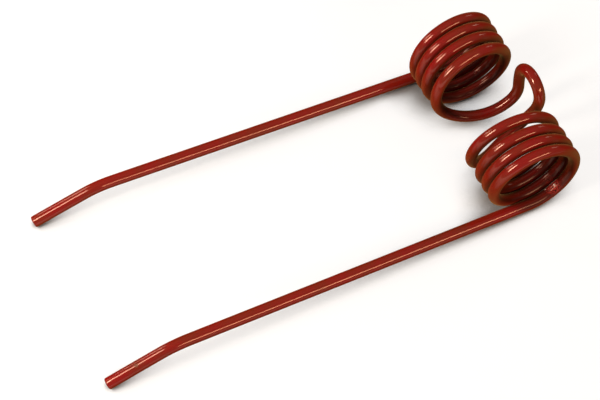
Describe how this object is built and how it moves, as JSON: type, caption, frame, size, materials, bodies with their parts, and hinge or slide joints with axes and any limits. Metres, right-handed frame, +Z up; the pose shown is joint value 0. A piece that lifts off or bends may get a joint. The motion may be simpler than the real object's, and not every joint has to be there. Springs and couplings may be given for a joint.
{
  "type": "baler pick-up tine",
  "caption": "Double torsion tine of round spring wire: two coils side by side, a raised bolt eye between them and long parallel arms with bent-down tips.",
  "frame": {"origin": "floor under the middle of the tine, as it lies on its tips and the undersides of its coils", "axes": "+X along the arms towards the tips, +Y along the coil axis, +Z up, out of the coils on the eye's side"},
  "size_m": [0.2358, 0.0938, 0.0455],
  "materials": {
    "red_paint": "gloss brick-red paint over spring steel wire"
  },
  "bodies": {
    "root": {"spring_tine": "red_paint"}
  },
  "joints": []
}
